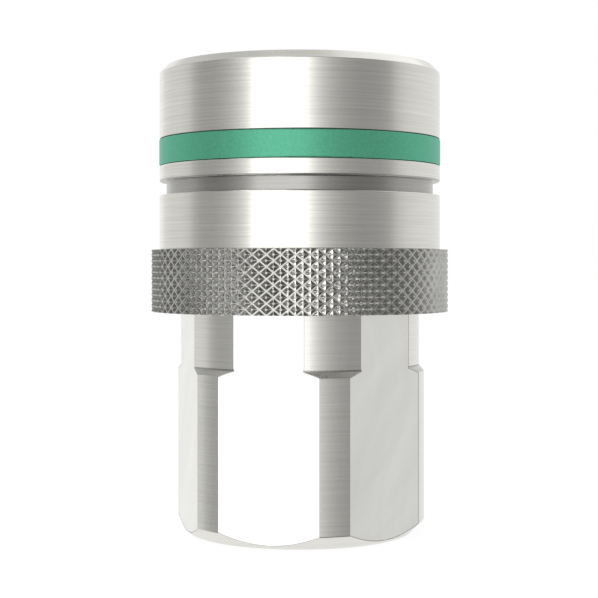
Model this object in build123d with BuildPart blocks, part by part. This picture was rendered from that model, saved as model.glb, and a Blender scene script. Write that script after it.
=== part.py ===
from build123d import *

import math
import os

os.makedirs("parts", exist_ok=True)

# Female half of a non-drip, flat-face quick coupling for a coolant line.
# Millimetres. The origin is the centre of the port face that the coupling stands on, +Z runs
# along the flow axis to the mating face, and one wrench flat faces -Y.

# Fits
running_gap = 0.05
seat_gap = 0.05
ball_gap = 0.1
seal_gap = 0.01

# Fixed valve stem with a flat head
stem_head_radius = 11.5
stem_head_height = 3.0
stem_head_cone = 6.8
stem_flange_step = 1.0
stem_flange_height = 1.2
stem_rod_radius = 5.0
stem_shoulder_step = 0.8
stem_shoulder_height = 2.0
stem_thread_step = 1.0
stem_tail = 1.2
stem_chamfer = 0.5
head_seal_section = 1.6
head_seal_groove_height = 1.9

# Shutter, the tube that closes round the stem's head
shutter_length = 21.0
shutter_lip_height = 4.2
shutter_lip_step = 1.6
shutter_wall = 2.35
shutter_edge_chamfer = 0.25

# Socket barrel: walls outside its bore, and heights down from the mating face
barrel_pilot_wall = 1.4
barrel_thread_wall = 2.4
barrel_waist_wall = 3.15
barrel_nose_wall = 4.2
barrel_recess = 0.5
barrel_edge_chamfer = 0.5
barrel_lead_in = 1.0
barrel_lead_in_height = 1.7
stop_ring_depth_in_barrel = 3.2
ball_depth_below_ring = 3.6
shutter_depth_below_balls = 4.6
plug_seal_depth_below_shutter = 0.4

# Plug seal and its backup ring
plug_seal_section = 2.1
plug_seal_groove_height = 3.4
backup_ring_height = 1.0

# Locking balls
ball_count = 12
ball_radius = 2.75
ball_reach_into_bore = 1.3
ball_travel = 1.35
ball_pocket_gap = 0.05
ball_pocket_seat_height = 0.5

# Stop ring at the front of the sleeve
stop_ring_thickness = 1.5
stop_ring_groove_depth = 0.9
stop_ring_stand_out = 1.5
stop_ring_arc = 345

# Hex body: port thread G 1, whose bore has the thread's crest size
port_radius = 15.15
port_depth = 20.0
port_entry_chamfer = 1.55
port_relief_depth = 1.85
port_relief_height = 2.5
flow_bore_radius = 12.5
flow_bore_height = 4.0
hex_across_flats = 41.0
hex_height = 29.65
hex_step = 0.92
hex_base_chamfer = 2.37
flats_runout = 6.3

# Screwed joint between the hex body and the barrel
body_pilot_height = 2.7
body_thread_height = 12.8
body_collar_height = 6.3
body_collar_wall = 2.6
body_top_chamfer = 0.4
body_seal_section = 1.34
body_seal_groove_height = 2.0
body_seal_depth_in_collar = 1.8

# Release sleeve, whose knurled end stands clear of the hex by the neck that it is pulled over
coupling_height = 82.9
neck_length = 9.55
sleeve_travel = 6.0
sleeve_wall = 3.65
sleeve_top_chamfer = 1.5
sleeve_edge_round = 0.2
sleeve_mouth_clearance = 0.7
sleeve_mouth_chamfer = 0.4
sleeve_land_above_knurl = 9.65
strap_groove_height = 2.4
strap_groove_depth = 1.23
sleeve_land_above_groove = 2.9

# Colour ring
colour_ring_height = 4.65
colour_ring_depth = 0.9
colour_ring_proud = 0.08
colour_ring_side_gap = 0.08

# Knurled ring
knurl_height = 11.0
knurl_ring_wall = 2.35
knurl_seat_depth = 0.9
knurl_depth = 0.8
knurl_count = 68
knurl_row_height = 1.0

# Springs
sleeve_spring_wire = 1.8
sleeve_spring_pitch = 3.5
sleeve_spring_seat_gap = 0.2
shutter_spring_wire = 1.6
shutter_spring_pitch = 3.9

# Stem spider and nut
spider_plate_height = 4.0
spider_rim_width = 4.3
spider_hub_margin = 1.2
spider_hub_height = 6.5
spider_arm_count = 3
spider_arm_width = 3.5
nut_across_flats = 13.0
nut_height = 4.0

# Radii, from the valve outwards
lip_bore_radius = stem_head_radius + 2 * running_gap
stem_flange_radius = stem_head_radius + stem_flange_step
stem_shoulder_radius = stem_rod_radius + stem_shoulder_step
stem_thread_radius = stem_rod_radius - stem_thread_step
shutter_wall_radius = lip_bore_radius + shutter_lip_step
shutter_radius = shutter_wall_radius + shutter_wall
barrel_bore_radius = shutter_radius + running_gap
body_pilot_radius = barrel_bore_radius + barrel_pilot_wall
body_thread_radius = barrel_bore_radius + barrel_thread_wall
barrel_waist_radius = barrel_bore_radius + barrel_waist_wall
barrel_nose_radius = barrel_bore_radius + barrel_nose_wall
neck_radius = barrel_waist_radius + running_gap + body_collar_wall
hex_corner_radius = neck_radius + hex_step
hex_base_radius = hex_corner_radius - hex_base_chamfer
sleeve_bore_radius = neck_radius + running_gap
sleeve_guide_radius = barrel_nose_radius + running_gap
sleeve_radius = sleeve_bore_radius + sleeve_wall
strap_groove_radius = sleeve_radius - strap_groove_depth
colour_ring_seat_radius = sleeve_radius - colour_ring_depth
knurl_seat_radius = sleeve_radius - knurl_seat_depth
knurl_tip_radius = knurl_seat_radius + knurl_ring_wall
stop_ring_inner_radius = barrel_nose_radius - stop_ring_groove_depth + running_gap
stop_ring_outer_radius = barrel_nose_radius + stop_ring_stand_out
sleeve_mouth_radius = stop_ring_outer_radius + sleeve_mouth_clearance
sleeve_spring_radius = (barrel_waist_radius + sleeve_bore_radius) / 2
shutter_spring_radius = (shutter_wall_radius + barrel_bore_radius) / 2

# Levels of the hex body and what stands in it, from the port face up
spider_bottom = port_depth + port_relief_height + flow_bore_height
spider_top = spider_bottom + spider_plate_height
body_thread_bottom = spider_top + body_pilot_height
body_thread_top = body_thread_bottom + body_thread_height
body_top = body_thread_top + body_collar_height
flats_top = body_top - flats_runout

# Levels of the sleeve's outside, from its knurled end up
knurl_bottom = hex_height + neck_length
knurl_top = knurl_bottom + knurl_height
strap_groove_bottom = knurl_top + sleeve_land_above_knurl
strap_groove_top = strap_groove_bottom + strap_groove_height
colour_ring_bottom = strap_groove_top + sleeve_land_above_groove
colour_ring_top = colour_ring_bottom + colour_ring_height

# Levels of the valve and the lock, from the mating face down
barrel_top = coupling_height - barrel_recess
stop_ring_bottom = barrel_top - stop_ring_depth_in_barrel
sleeve_stop_height = stop_ring_bottom - seat_gap
ball_height = stop_ring_bottom - ball_depth_below_ring
shutter_face_height = ball_height - shutter_depth_below_balls
shutter_bottom = shutter_face_height - shutter_length
flange_bottom = shutter_face_height - stem_flange_height
head_bottom = flange_bottom - stem_head_height
plug_seal_groove_top = shutter_face_height - plug_seal_depth_below_shutter
plug_seal_groove_bottom = plug_seal_groove_top - plug_seal_groove_height
barrel_nose_bottom = plug_seal_groove_bottom
sleeve_spring_top = barrel_nose_bottom - sleeve_spring_seat_gap

# The sleeve's locking cone opens at the rate at which the balls move out as it is pulled back
lock_slope = ball_travel / sleeve_travel
lock_angle = math.atan(lock_slope)
ball_circle_radius = barrel_bore_radius - ball_reach_into_bore + ball_radius
lock_radius_at_ball = ball_circle_radius + (ball_radius + ball_gap) / math.cos(lock_angle)
lock_cone_bottom = ball_height - (lock_radius_at_ball - sleeve_guide_radius) / lock_slope
lock_cone_top_radius = lock_radius_at_ball + lock_slope * (sleeve_stop_height - ball_height)


# Hex body: turned bar with six milled flats, the port below and the barrel's thread above
with BuildPart() as hex_body:
    with BuildSketch(Plane.XZ):
        Polygon(
            (port_radius + port_entry_chamfer, 0),
            (hex_base_radius, 0),
            (hex_corner_radius, hex_base_chamfer),
            (hex_corner_radius, hex_height - hex_step),
            (neck_radius, hex_height),
            (neck_radius, body_top - body_top_chamfer),
            (neck_radius - body_top_chamfer, body_top),
            (barrel_waist_radius + running_gap, body_top),
            (barrel_waist_radius + running_gap, body_thread_top),
            (body_thread_radius + running_gap, body_thread_top),
            (body_thread_radius + running_gap, body_thread_bottom),
            (body_pilot_radius + running_gap, body_thread_bottom),
            (body_pilot_radius + running_gap, spider_bottom),
            (flow_bore_radius, spider_bottom),
            (flow_bore_radius, port_depth + port_relief_height),
            (port_radius + port_relief_depth, port_depth + port_relief_height),
            (port_radius + port_relief_depth, port_depth),
            (port_radius, port_depth),
            (port_radius, port_entry_chamfer),
            align=None,
        )
    revolve(axis=Axis.Z)
    with BuildSketch(Plane.XY):
        Circle(2 * hex_corner_radius)
        RegularPolygon(hex_across_flats / 2, 6, major_radius=False, mode=Mode.SUBTRACT)
    extrude(amount=flats_top, mode=Mode.SUBTRACT)

hex_body.part.label = "hex_body"
export_step(hex_body.part, "parts/hex_body.step")


# Socket barrel: takes the plug's nose, carries the balls, and screws into the hex body
seal_groove_low = body_thread_top + body_seal_depth_in_collar
seal_groove_high = seal_groove_low + body_seal_groove_height
body_seal_floor_radius = barrel_waist_radius + running_gap - body_seal_section - seal_gap
plug_seal_floor_radius = barrel_bore_radius + plug_seal_section
thread_start = body_thread_radius - body_pilot_radius
thread_run_out = barrel_waist_radius - body_thread_radius
nose_chamfer = barrel_nose_radius - barrel_waist_radius
ring_groove_bottom = stop_ring_bottom - running_gap
ring_groove_top = stop_ring_bottom + stop_ring_thickness + running_gap
pocket_radius = ball_radius + ball_pocket_gap
pocket_seat_radius = barrel_bore_radius + ball_pocket_seat_height
pocket_seat_reach = ball_circle_radius - barrel_bore_radius
pocket_start_angle = 180 / ball_count
pocket_mouth_radius = math.sqrt((ball_radius + ball_pocket_gap / 2) ** 2 - pocket_seat_reach**2)

with BuildPart() as socket_barrel:
    with BuildSketch(Plane.XZ):
        Polygon(
            (barrel_bore_radius, spider_top),
            (body_pilot_radius, spider_top),
            (body_pilot_radius, body_thread_bottom + running_gap),
            (body_thread_radius, body_thread_bottom + running_gap + thread_start),
            (body_thread_radius, body_thread_top),
            (barrel_waist_radius, body_thread_top + thread_run_out),
            (barrel_waist_radius, seal_groove_low),
            (body_seal_floor_radius, seal_groove_low),
            (body_seal_floor_radius, seal_groove_high),
            (barrel_waist_radius, seal_groove_high),
            (barrel_waist_radius, barrel_nose_bottom),
            (barrel_nose_radius, barrel_nose_bottom + nose_chamfer),
            (barrel_nose_radius, ring_groove_bottom),
            (barrel_nose_radius - stop_ring_groove_depth, ring_groove_bottom),
            (barrel_nose_radius - stop_ring_groove_depth, ring_groove_top),
            (barrel_nose_radius, ring_groove_top),
            (barrel_nose_radius, barrel_top - barrel_edge_chamfer),
            (barrel_nose_radius - barrel_edge_chamfer, barrel_top),
            (barrel_bore_radius + barrel_lead_in, barrel_top),
            (barrel_bore_radius, barrel_top - barrel_lead_in_height),
            (barrel_bore_radius, plug_seal_groove_top),
            (plug_seal_floor_radius, plug_seal_groove_top),
            (plug_seal_floor_radius, plug_seal_groove_bottom),
            (barrel_bore_radius, plug_seal_groove_bottom),
            align=None,
        )
    revolve(axis=Axis.Z)
    with Locations((0, 0, ball_height)):
        with PolarLocations(barrel_bore_radius, ball_count, start_angle=pocket_start_angle):
            Cone(
                pocket_mouth_radius,
                pocket_radius,
                ball_pocket_seat_height,
                rotation=(0, 90, 0),
                align=(Align.CENTER, Align.CENTER, Align.MIN),
                mode=Mode.SUBTRACT,
            )
            Cylinder(
                pocket_mouth_radius,
                2 * ball_pocket_seat_height,
                rotation=(0, 90, 0),
                mode=Mode.SUBTRACT,
            )
        with PolarLocations(pocket_seat_radius, ball_count, start_angle=pocket_start_angle):
            Cylinder(
                pocket_radius,
                sleeve_radius - barrel_bore_radius,
                rotation=(0, 90, 0),
                align=(Align.CENTER, Align.CENTER, Align.MIN),
                mode=Mode.SUBTRACT,
            )

socket_barrel.part.label = "socket_barrel"
export_step(socket_barrel.part, "parts/socket_barrel.step")


# Release sleeve: locking cone above, spring chamber inside, seats for its two rings outside
with BuildPart() as release_sleeve:
    with BuildSketch(Plane.XZ):
        Polygon(
            (sleeve_bore_radius, knurl_bottom),
            (knurl_seat_radius, knurl_bottom),
            (knurl_seat_radius, knurl_top),
            (sleeve_radius, knurl_top),
            (sleeve_radius, strap_groove_bottom),
            (strap_groove_radius, strap_groove_bottom),
            (strap_groove_radius, strap_groove_top),
            (sleeve_radius, strap_groove_top),
            (sleeve_radius, colour_ring_bottom - colour_ring_side_gap),
            (colour_ring_seat_radius, colour_ring_bottom - colour_ring_side_gap),
            (colour_ring_seat_radius, colour_ring_top + colour_ring_side_gap),
            (sleeve_radius, colour_ring_top + colour_ring_side_gap),
            (sleeve_radius, coupling_height - sleeve_top_chamfer),
            (sleeve_radius - sleeve_top_chamfer, coupling_height),
            (sleeve_mouth_radius + sleeve_mouth_chamfer, coupling_height),
            (sleeve_mouth_radius, coupling_height - sleeve_mouth_chamfer),
            (sleeve_mouth_radius, sleeve_stop_height),
            (lock_cone_top_radius, sleeve_stop_height),
            (sleeve_guide_radius, lock_cone_bottom),
            (sleeve_guide_radius, sleeve_spring_top),
            (sleeve_bore_radius, sleeve_spring_top),
            align=None,
        )
    revolve(axis=Axis.Z)
    lips_from = strap_groove_bottom - sleeve_edge_round
    lips_to = colour_ring_top + colour_ring_side_gap + sleeve_edge_round
    groove_lips = (
        release_sleeve.edges()
        .filter_by(GeomType.CIRCLE)
        .filter_by(lambda edge: abs(edge.radius - sleeve_radius) < sleeve_edge_round)
        .filter_by_position(Axis.Z, lips_from, lips_to)
    )
    fillet(groove_lips, sleeve_edge_round)

release_sleeve.part.label = "release_sleeve"
export_step(release_sleeve.part, "parts/release_sleeve.step")


# Colour ring, snapped into its seat in the sleeve
with BuildPart() as colour_ring:
    with BuildSketch(Plane.XZ):
        Polygon(
            (colour_ring_seat_radius, colour_ring_bottom),
            (sleeve_radius + colour_ring_proud, colour_ring_bottom),
            (sleeve_radius + colour_ring_proud, colour_ring_top),
            (colour_ring_seat_radius, colour_ring_top),
            align=None,
        )
    revolve(axis=Axis.Z)
    outer_edges = colour_ring.edges().filter_by(GeomType.CIRCLE).group_by(SortBy.RADIUS)[-1]
    fillet(outer_edges, sleeve_edge_round)

colour_ring.part.label = "colour_ring"
export_step(colour_ring.part, "parts/colour_ring.step")


# Knurled ring: crossed V grooves leave rows of four-sided points, each row half a step round
knurl_rows = max(2, round(knurl_height / knurl_row_height))
knurl_columns = 2 * knurl_count


def knurl_point(column, row):
    """Point of the knurl's lattice: tips and groove crossings take turns along each row."""
    is_tip = (column + row) % 2 == 0
    radius = knurl_tip_radius if is_tip else knurl_tip_radius - knurl_depth
    angle = 2 * math.pi * column / knurl_columns
    height = knurl_bottom + knurl_height * row / knurl_rows
    return Vector(radius * math.cos(angle), radius * math.sin(angle), height)


def knurl_facets(column, row):
    """Two facets of one lattice cell, which meet along the groove that crosses it."""
    low_left = knurl_point(column, row)
    low_right = knurl_point(column + 1, row)
    high_left = knurl_point(column, row + 1)
    high_right = knurl_point(column + 1, row + 1)
    if (column + row) % 2 == 0:
        corners = [(low_left, low_right, high_left), (high_right, high_left, low_right)]
    else:
        corners = [(low_right, high_right, low_left), (high_left, low_left, high_right)]
    return [Face(Wire.make_polygon(points, close=True)) for points in corners]


def knurl_end(row):
    """Flat end of the knurled ring, with the outline that the cut grooves leave."""
    rim = [knurl_point(column, row) for column in range(knurl_columns)]
    return Face(Wire.make_polygon(rim, close=True))


knurl_faces = [knurl_end(0), knurl_end(knurl_rows)]
for lattice_row in range(knurl_rows):
    for lattice_column in range(knurl_columns):
        knurl_faces += knurl_facets(lattice_column, lattice_row)

with BuildPart() as knurled_ring:
    add(Solid(Shell(knurl_faces)), clean=False)
    with BuildSketch(Plane.XY.offset(knurl_bottom)):
        Circle(knurl_seat_radius)
    extrude(amount=knurl_height, mode=Mode.SUBTRACT, clean=False)

knurled_ring.part.label = "knurled_ring"
export_step(knurled_ring.part, "parts/knurled_ring.step")


# Locking balls, one to each pocket of the barrel
for ball_index in range(ball_count):
    ball_angle = math.radians((ball_index + 0.5) * 360 / ball_count)
    ball_x = ball_circle_radius * math.cos(ball_angle)
    ball_y = ball_circle_radius * math.sin(ball_angle)
    with BuildPart() as locking_ball:
        with Locations((ball_x, ball_y, ball_height)):
            Sphere(ball_radius)
    locking_ball.part.label = f"locking_ball_{ball_index + 1:02d}"
    export_step(locking_ball.part, f"parts/locking_ball_{ball_index + 1:02d}.step")


# Stop ring: open spring ring in the barrel's groove, which the sleeve rests against
with BuildPart() as stop_ring:
    with BuildSketch(Plane.XZ):
        Polygon(
            (stop_ring_inner_radius, stop_ring_bottom),
            (stop_ring_outer_radius, stop_ring_bottom),
            (stop_ring_outer_radius, stop_ring_bottom + stop_ring_thickness),
            (stop_ring_inner_radius, stop_ring_bottom + stop_ring_thickness),
            align=None,
        )
    revolve(axis=Axis.Z, revolution_arc=stop_ring_arc)

stop_ring.part.label = "stop_ring"
export_step(stop_ring.part, "parts/stop_ring.step")


# Sleeve spring, ground flat at both ends, between the hex body and the sleeve's shoulder
with BuildPart() as sleeve_spring:
    with BuildLine() as sleeve_coil:
        Helix(
            pitch=sleeve_spring_pitch,
            height=sleeve_spring_top - body_top,
            radius=sleeve_spring_radius,
            center=(0, 0, body_top),
        )
    with BuildSketch(Plane(origin=sleeve_coil.line @ 0, z_dir=sleeve_coil.line % 0)):
        Circle(sleeve_spring_wire / 2)
    sweep(is_frenet=True)
    split(bisect_by=Plane.XY.offset(body_top), keep=Keep.TOP)
    split(bisect_by=Plane.XY.offset(sleeve_spring_top), keep=Keep.BOTTOM)

sleeve_spring.part.label = "sleeve_spring"
export_step(sleeve_spring.part, "parts/sleeve_spring.step")


# Shutter: tube that slides in the barrel and closes round the stem's head
with BuildPart() as shutter:
    with BuildSketch(Plane.XZ):
        Polygon(
            (shutter_wall_radius, shutter_bottom),
            (shutter_radius, shutter_bottom),
            (shutter_radius, shutter_face_height - shutter_edge_chamfer),
            (shutter_radius - shutter_edge_chamfer, shutter_face_height),
            (stem_flange_radius + running_gap, shutter_face_height),
            (stem_flange_radius + running_gap, flange_bottom - seat_gap),
            (lip_bore_radius, flange_bottom - seat_gap),
            (lip_bore_radius, shutter_face_height - shutter_lip_height),
            (shutter_wall_radius, shutter_face_height - shutter_lip_height - shutter_lip_step),
            align=None,
        )
    revolve(axis=Axis.Z)

shutter.part.label = "shutter"
export_step(shutter.part, "parts/shutter.step")


# Shutter spring, ground flat at both ends, between the spider and the shutter
with BuildPart() as shutter_spring:
    with BuildLine() as shutter_coil:
        Helix(
            pitch=shutter_spring_pitch,
            height=shutter_bottom - spider_top,
            radius=shutter_spring_radius,
            center=(0, 0, spider_top),
        )
    with BuildSketch(Plane(origin=shutter_coil.line @ 0, z_dir=shutter_coil.line % 0)):
        Circle(shutter_spring_wire / 2)
    sweep(is_frenet=True)
    split(bisect_by=Plane.XY.offset(spider_top), keep=Keep.TOP)
    split(bisect_by=Plane.XY.offset(shutter_bottom), keep=Keep.BOTTOM)

shutter_spring.part.label = "shutter_spring"
export_step(shutter_spring.part, "parts/shutter_spring.step")


# Valve stem: fixed, with a flat head flush with the shutter
spider_hub_top = spider_bottom + spider_hub_height
stem_bottom = spider_bottom - nut_height - stem_tail
head_seal_floor_radius = lip_bore_radius - head_seal_section - running_gap
head_seal_groove_bottom = head_bottom + (stem_head_height - head_seal_groove_height) / 2

with BuildPart() as valve_stem:
    with BuildSketch(Plane.XZ):
        Polygon(
            (0, stem_bottom),
            (stem_thread_radius - stem_chamfer, stem_bottom),
            (stem_thread_radius, stem_bottom + stem_chamfer),
            (stem_thread_radius, spider_hub_top),
            (stem_shoulder_radius, spider_hub_top),
            (stem_shoulder_radius, spider_hub_top + stem_shoulder_height),
            (stem_rod_radius, spider_hub_top + stem_shoulder_height + stem_shoulder_step),
            (stem_rod_radius, head_bottom - stem_head_cone),
            (stem_head_radius, head_bottom),
            (stem_head_radius, head_seal_groove_bottom),
            (head_seal_floor_radius, head_seal_groove_bottom),
            (head_seal_floor_radius, head_seal_groove_bottom + head_seal_groove_height),
            (stem_head_radius, head_seal_groove_bottom + head_seal_groove_height),
            (stem_head_radius, flange_bottom),
            (stem_flange_radius, flange_bottom),
            (stem_flange_radius, shutter_face_height),
            (0, shutter_face_height),
            align=None,
        )
    revolve(axis=Axis.Z)

valve_stem.part.label = "valve_stem"
export_step(valve_stem.part, "parts/valve_stem.step")


# Spider: windowed plate clamped between the two bodies, which holds the stem on the axis
spider_window_radius = body_pilot_radius - spider_rim_width
spider_arm_reach = (spider_window_radius + body_pilot_radius) / 2

with BuildPart() as stem_spider:
    with BuildSketch(Plane.XY.offset(spider_bottom)):
        Circle(body_pilot_radius)
        Circle(spider_window_radius, mode=Mode.SUBTRACT)
        with PolarLocations(0, spider_arm_count):
            Rectangle(spider_arm_reach, spider_arm_width, align=(Align.MIN, Align.CENTER))
    extrude(amount=spider_plate_height)
    with BuildSketch(Plane.XY.offset(spider_bottom)):
        Circle(stem_shoulder_radius + spider_hub_margin)
    extrude(amount=spider_hub_height)
    with Locations((0, 0, spider_bottom)):
        Cylinder(
            stem_thread_radius + running_gap,
            spider_hub_height,
            align=(Align.CENTER, Align.CENTER, Align.MIN),
            mode=Mode.SUBTRACT,
        )

stem_spider.part.label = "stem_spider"
export_step(stem_spider.part, "parts/stem_spider.step")


# Nut that pulls the stem's shoulder down on the spider
with BuildPart() as stem_nut:
    with BuildSketch(Plane.XY.offset(spider_bottom - nut_height)):
        RegularPolygon(nut_across_flats / 2, 6, major_radius=False)
        Circle(stem_thread_radius + running_gap, mode=Mode.SUBTRACT)
    extrude(amount=nut_height)

stem_nut.part.label = "stem_nut"
export_step(stem_nut.part, "parts/stem_nut.step")


# Seals: round-section rings in their grooves, and the plug seal's square backup ring
with BuildPart() as head_seal:
    with BuildSketch(Plane.XZ):
        with Locations((
            head_seal_floor_radius + head_seal_section / 2,
            head_seal_groove_bottom + head_seal_groove_height / 2,
        )):
            Circle(head_seal_section / 2)
    revolve(axis=Axis.Z)

head_seal.part.label = "head_seal"
export_step(head_seal.part, "parts/head_seal.step")

with BuildPart() as plug_seal:
    with BuildSketch(Plane.XZ):
        with Locations((
            barrel_bore_radius + plug_seal_section / 2,
            (plug_seal_groove_bottom + backup_ring_height + plug_seal_groove_top) / 2,
        )):
            Circle(plug_seal_section / 2)
    revolve(axis=Axis.Z)

plug_seal.part.label = "plug_seal"
export_step(plug_seal.part, "parts/plug_seal.step")

with BuildPart() as backup_ring:
    with BuildSketch(Plane.XZ):
        Polygon(
            (barrel_bore_radius, plug_seal_groove_bottom),
            (plug_seal_floor_radius, plug_seal_groove_bottom),
            (plug_seal_floor_radius, plug_seal_groove_bottom + backup_ring_height),
            (barrel_bore_radius, plug_seal_groove_bottom + backup_ring_height),
            align=None,
        )
    revolve(axis=Axis.Z)

backup_ring.part.label = "backup_ring"
export_step(backup_ring.part, "parts/backup_ring.step")

with BuildPart() as body_seal:
    with BuildSketch(Plane.XZ):
        with Locations((
            body_seal_floor_radius + body_seal_section / 2,
            (seal_groove_low + seal_groove_high) / 2,
        )):
            Circle(body_seal_section / 2)
    revolve(axis=Axis.Z)

body_seal.part.label = "body_seal"
export_step(body_seal.part, "parts/body_seal.step")
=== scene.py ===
from math import acos, atan2, ceil, cos, pi, radians, sin, sqrt, tan

import bpy
import numpy as np
from bpy.props import FloatProperty, FloatVectorProperty, IntProperty, PointerProperty
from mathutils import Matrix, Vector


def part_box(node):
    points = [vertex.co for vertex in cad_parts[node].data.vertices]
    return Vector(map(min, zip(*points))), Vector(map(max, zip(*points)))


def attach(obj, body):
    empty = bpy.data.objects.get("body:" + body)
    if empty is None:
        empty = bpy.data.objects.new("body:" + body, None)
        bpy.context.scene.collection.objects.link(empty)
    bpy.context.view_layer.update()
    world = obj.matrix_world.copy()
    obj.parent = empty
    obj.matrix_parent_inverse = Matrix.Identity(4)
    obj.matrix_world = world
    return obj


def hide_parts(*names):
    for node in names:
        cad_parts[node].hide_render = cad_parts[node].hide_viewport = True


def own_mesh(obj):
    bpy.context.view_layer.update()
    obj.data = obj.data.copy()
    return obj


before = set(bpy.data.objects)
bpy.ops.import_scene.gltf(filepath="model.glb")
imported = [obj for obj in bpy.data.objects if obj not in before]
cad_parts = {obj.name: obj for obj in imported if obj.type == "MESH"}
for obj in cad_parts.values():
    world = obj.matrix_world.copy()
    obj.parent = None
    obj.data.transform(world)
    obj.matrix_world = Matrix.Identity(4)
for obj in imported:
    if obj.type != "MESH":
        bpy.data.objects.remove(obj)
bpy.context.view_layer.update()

bl_info = {
    "name": "Non-drip coupling",
    "version": (1, 0, 0),
    "blender": (4, 5, 0),
    "location": "3D View > Sidebar > Coupling",
    "description": "Dresses a flat-face quick coupling with turned, milled and knurled surfaces",
    "category": "Add Mesh",
}

MM = 0.001
FULL_TURN = 2 * pi
WHITE = (1.0, 1.0, 1.0, 1.0)
# Depth of the marks in most finishes, and the radius that the colour ring and the knurled ring sit on
FINE_MARKS = 0.02 * MM
RING_SEAT = 24.2 * MM


def mm(*values):
    """Lengths in metres from lengths in millimetres."""
    return [value * MM for value in values]


def top_of(node):
    """Height of a CAD node's upper end."""
    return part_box(node)[1].z


def foot_of(node):
    """Height of a CAD node's lower end."""
    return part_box(node)[0].z


def reach_of(node):
    """Outside radius of a CAD node that is round about the axis."""
    low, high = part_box(node)
    return max(high.x, high.y, -low.x, -low.y)


# Sizes and colours that a user would change


def setting(kind, name, description, default, **limits):
    return kind(name=name, description=description, default=default, **limits)


def length(name, description, millimetres):
    limits = {"min": 0.0, "precision": 5, "subtype": "DISTANCE", "unit": "LENGTH"}
    return setting(FloatProperty, name, description, millimetres * MM, **limits)


def share(name, description, default, low, high):
    """A part of one knurl point, whose whole is 1."""
    return setting(FloatProperty, name, description, default, min=low, max=high, subtype="FACTOR")


def colour(name, description, default):
    limits = {"size": 3, "min": 0.0, "max": 1.0, "subtype": "COLOR"}
    return setting(FloatVectorProperty, name, description, default, **limits)


class HexBodySizes(bpy.types.PropertyGroup):
    across_flats: length("Across flats", "Wrench size of the hexagon", 41.0)
    corner_radius: length("Corner radius", "Turned radius that the flats cut into", reach_of("hex_body") / MM)
    neck_radius: length("Neck radius", "Turned radius of the neck above the hexagon", 21.4)
    hex_height: length("Hexagon height", "Height of the hexagon's shoulder", 29.65)
    flats_top: length("Top of the flats", "Height at which the milled flats end", 46.0)
    base_chamfer: length("Base chamfer", "Chamfer round the hexagon's lower end", 2.37)
    # The undercut's faces carry a painted shade line at the neck's foot
    undercut_depth: length("Undercut depth", "Depth of the turned undercut at the neck's foot", 0.03)
    undercut_height: length("Undercut height", "Height of that undercut", 0.30)
    eased_edge: length("Eased edge", "Width of the eased edge round each flat", 0.15)
    thread_crest: length("Thread crest", "Smallest radius of the port thread", 15.15)
    thread_root: length("Thread root", "Largest radius of the port thread", 16.62)
    thread_pitch: length("Thread pitch", "Pitch of the port thread", 2.309)


class SleeveSizes(bpy.types.PropertyGroup):
    radius: length("Sleeve radius", "Outside radius of the release sleeve", 25.1)
    top_chamfer: length("Top chamfer", "Chamfer at the sleeve's mouth", 1.37)
    groove_bottom: length("Groove bottom", "Lower side of the strap groove", 59.85)
    groove_height: length("Groove height", "Height of the strap groove", 2.4)
    groove_depth: length("Groove depth", "Depth of the strap groove", 1.23)
    ring_gap: length("Ring gap", "Gap at each side of the colour ring", 0.08)
    edge_round: length("Edge round", "Rounding of the sleeve's grooves and ends", 0.15)


class KnurlSizes(bpy.types.PropertyGroup):
    count: setting(IntProperty, "Points round", "Knurl points in one row", 68, min=8)
    rows: setting(IntProperty, "Rows", "Rows of the knurl's lattice", 11, min=2)
    depth: length("Depth", "Fall from a sharp point to a crossing of grooves", 0.56)
    flat_share: share("Worn tips", "Share of each point that wear has flattened", 0.25, 0.05, 0.5)
    ridge_share: share("Worn ridges", "Half width of the ridges that run round", 0.14, 0.01, 0.2)
    edge_share: share("Keen ridges", "Half width of the ridges that run lengthwise", 0.02, 0.01, 0.2)
    floor_share: share("Groove floors", "Half width of each groove's floor", 0.16, 0.02, 0.3)


class SpringSizes(bpy.types.PropertyGroup):
    sleeve_wire: length("Sleeve spring wire", "Wire thickness of the sleeve's spring", 1.8)
    shutter_wire: length("Shutter spring wire", "Wire thickness of the shutter's spring", 1.6)


class FinishColours(bpy.types.PropertyGroup):
    steel: colour("Steel", "Turned and brushed steel", (0.86, 0.85, 0.80))
    body_steel: colour("Body steel", "Turned outside of the hexagon body", (0.895, 0.885, 0.835))
    milled_steel: colour("Milled steel", "Wrench flats", (0.96, 0.955, 0.92))
    # Darker steel for the strap groove and the colour ring's slot, and painted shade on the neck's undercut
    recess_steel: colour("Recess steel", "Floor of the strap groove", (0.455, 0.45, 0.43))
    knurl_steel: colour("Knurl steel", "Knurled ring", (0.55, 0.545, 0.515))
    # Painted shade: a darker copy of the knurl's steel for one flank of each knurl point
    rubbed_steel: colour("Rubbed steel", "Knurl flanks in painted shade", (0.27, 0.267, 0.253))
    # Painted shade: a darker copy of the turned steel for the shoulder cone under the knurled ring
    shoulder_steel: colour("Shoulder steel", "Shoulder above the hexagon", (0.62, 0.615, 0.59))
    edge_steel: colour("Edge steel", "Eased edges round the wrench flats", (0.54, 0.535, 0.51))
    spring_steel: colour("Spring steel", "Springs and the stop ring", (0.50, 0.49, 0.47))
    ball_steel: colour("Ball steel", "Polished locking balls", (0.90, 0.90, 0.89))
    ring_green: colour("Ring green", "Colour ring", (0.11, 0.455, 0.29))
    seal_rubber: colour("Seal rubber", "Seal rings", (0.018, 0.018, 0.019))
    ring_plastic: colour("Backup plastic", "Backup ring", (0.80, 0.79, 0.75))


class StudioSettings(bpy.types.PropertyGroup):
    lens: setting(FloatProperty, "Lens", "Focal length of the camera", 90.04, unit="CAMERA")
    distance: length("Distance", "From the camera to the coupling's axis", 269.3)
    camera_height: length("Camera height", "Height of the camera above the floor", 47.8)
    azimuth: setting(
        FloatProperty, "Azimuth", "Camera's angle round the coupling", radians(14.6), subtype="ANGLE"
    )
    daylight: setting(FloatProperty, "Daylight", "Level of the even light", 0.92, min=0.0)


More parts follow.
